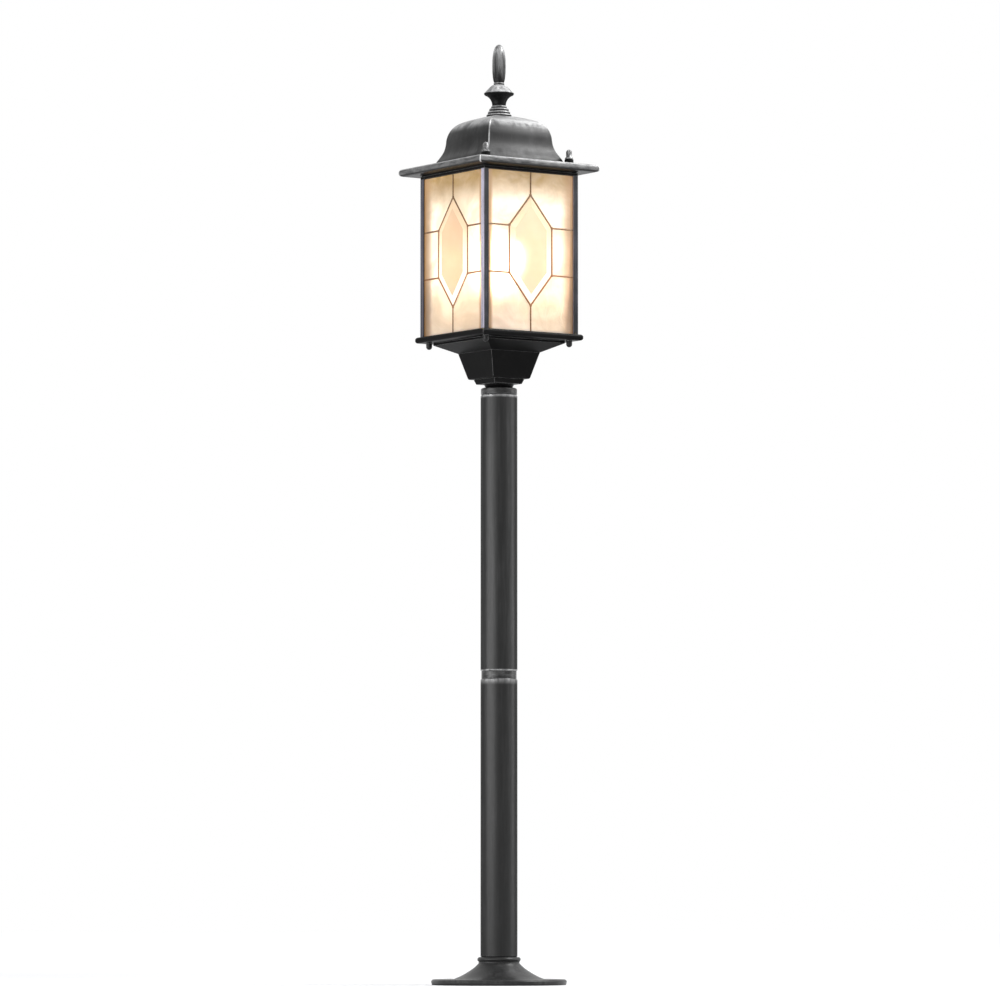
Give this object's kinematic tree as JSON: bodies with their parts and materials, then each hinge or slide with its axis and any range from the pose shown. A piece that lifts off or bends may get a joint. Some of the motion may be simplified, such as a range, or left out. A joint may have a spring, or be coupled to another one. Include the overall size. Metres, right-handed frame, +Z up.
{
  "type": "lantern floor lamp",
  "caption": "Outdoor lantern on a round post: square leaded-glass lantern with hinged domed roof, finial, cap screws and E27 bulb on a cast foot.",
  "frame": {"origin": "centre of the foot's underside, on the floor", "axes": "+Z up the post; +Y towards the side of the lantern that has the roof hinge; the faces of the lantern look along +X, -X, +Y and -Y"},
  "size_m": [0.178, 0.178, 1.1527],
  "materials": {
    "foot_casting": "black paint over cast aluminium, brushed silver on the raised edges",
    "post_tube": "black paint rubbed with silver, satin",
    "post_ring": "black paint rubbed with silver, satin",
    "post_collar": "black paint rubbed with silver, satin",
    "base_casting": "black paint with a thin silver rub on the edges, satin",
    "corner_post": "black paint rubbed with silver, satin",
    "top_frame": "black paint, satin",
    "roof_casting": "black paint brushed with silver, satin",
    "finial_casting": "black paint brushed with silver, satin",
    "black_screw": "black paint, satin",
    "bright_screw": "bright, lightly brushed",
    "zinc_steel": "zinc plated, dull",
    "brass": "plain brass",
    "black_rubber": "matt black rubber",
    "water_glass": "champagne tinted glass with a wavy surface",
    "bevelled_glass": "clear bevelled glass, faintly warm",
    "lead": "bronze patina on lead strip, matt",
    "lampholder_body": "brown glazed porcelain",
    "bulb_glass": "clear bulb glass, lit",
    "bulb_cap": "pressed aluminium screw cap",
    "bulb_insulator": "black vitrite",
    "stem_glass": "clear glass",
    "filament": "tungsten, glowing",
    "terminal_block": "off-white moulding",
    "wire_brown": "brown silicone sheath",
    "wire_blue": "blue silicone sheath"
  },
  "bodies": {
    "lamp": {"foot": "foot_casting", "foot_nipple": "zinc_steel", "cable_grommet": "black_rubber", "lower_tube": "post_tube", "tube_coupler": "post_ring", "upper_tube": "post_tube", "head_collar": "post_collar", "collar_screw": "black_screw", "lantern_base": "base_casting", "post_front_left": "corner_post", "post_front_right": "corner_post", "post_back_left": "corner_post", "post_back_right": "corner_post", "top_frame": "top_frame", "roof_gasket": "black_rubber", "glass_front": "water_glass", "glass_left": "water_glass", "glass_back": "water_glass", "glass_right": "water_glass", "bevel_front": "bevelled_glass", "bevel_left": "bevelled_glass", "bevel_back": "bevelled_glass", "bevel_right": "bevelled_glass", "leading_front": "lead", "leading_left": "lead", "leading_back": "lead", "leading_right": "lead", "tie_rods": "zinc_steel", "rod_nuts": "black_screw", "hinge_pins": "zinc_steel", "holder_strap": "zinc_steel", "strap_screws": "brass", "holder_screws": "brass", "lampholder": "lampholder_body", "holder_shell": "brass", "holder_contact": "brass", "terminal_block": "terminal_block", "terminal_screws": "brass", "block_screw": "brass", "wire_live": "wire_brown", "wire_neutral": "wire_blue", "earth_screw": "brass"},
    "roof": {"roof_plate": "roof_casting", "roof_dome": "roof_casting", "dome_screws": "zinc_steel", "finial": "finial_casting", "finial_collar": "finial_casting", "finial_nut": "zinc_steel"},
    "cap_washer_left": {"cap_washer_left": "black_rubber"},
    "cap_screw_left": {"cap_screw_left": "bright_screw"},
    "cap_washer_right": {"cap_washer_right": "black_rubber"},
    "cap_screw_right": {"cap_screw_right": "bright_screw"},
    "bulb_tip": {"bulb_contact": "brass"},
    "bulb": {"bulb_glass": "bulb_glass", "bulb_cap": "bulb_cap", "bulb_insulator": "bulb_insulator", "bulb_stem": "stem_glass", "bulb_filament": "filament"}
  },
  "joints": [
    {"name": "roof_open", "type": "hinge", "parent": "lamp", "child": "roof", "pos_m": [0, 0.0751, 0.9871], "axis": [-1, 0, 0], "range_deg": [0, 130]},
    {"name": "cap_screw_left_rise", "type": "slide", "parent": "roof", "child": "cap_washer_left", "axis": [0, 0, 1], "range_m": [0, 0.007]},
    {"name": "cap_screw_left_turn", "type": "hinge", "parent": "cap_washer_left", "child": "cap_screw_left", "pos_m": [-0.0617, -0.0617, 1], "axis": [0, 0, 1], "range_deg": [0, 3604]},
    {"name": "cap_screw_right_rise", "type": "slide", "parent": "roof", "child": "cap_washer_right", "axis": [0, 0, 1], "range_m": [0, 0.007]},
    {"name": "cap_screw_right_turn", "type": "hinge", "parent": "cap_washer_right", "child": "cap_screw_right", "pos_m": [0.0617, -0.0617, 1], "axis": [0, 0, 1], "range_deg": [0, 3604]},
    {"name": "bulb_rise", "type": "slide", "parent": "lamp", "child": "bulb_tip", "axis": [0, 0, 1], "range_m": [0, 0.02161]},
    {"name": "bulb_turn", "type": "hinge", "parent": "bulb_tip", "child": "bulb", "pos_m": [0, 0, 0.82], "axis": [0, 0, 1], "range_deg": [0, 2160]}
  ],
  "couplings": [
    {"joint": "cap_screw_left_turn", "follows": "cap_screw_left_rise", "rad_per_m": 8976},
    {"joint": "cap_screw_right_turn", "follows": "cap_screw_right_rise", "rad_per_m": 8976},
    {"joint": "bulb_rise", "follows": "bulb_turn", "m_per_rad": 0.00057296}
  ]
}
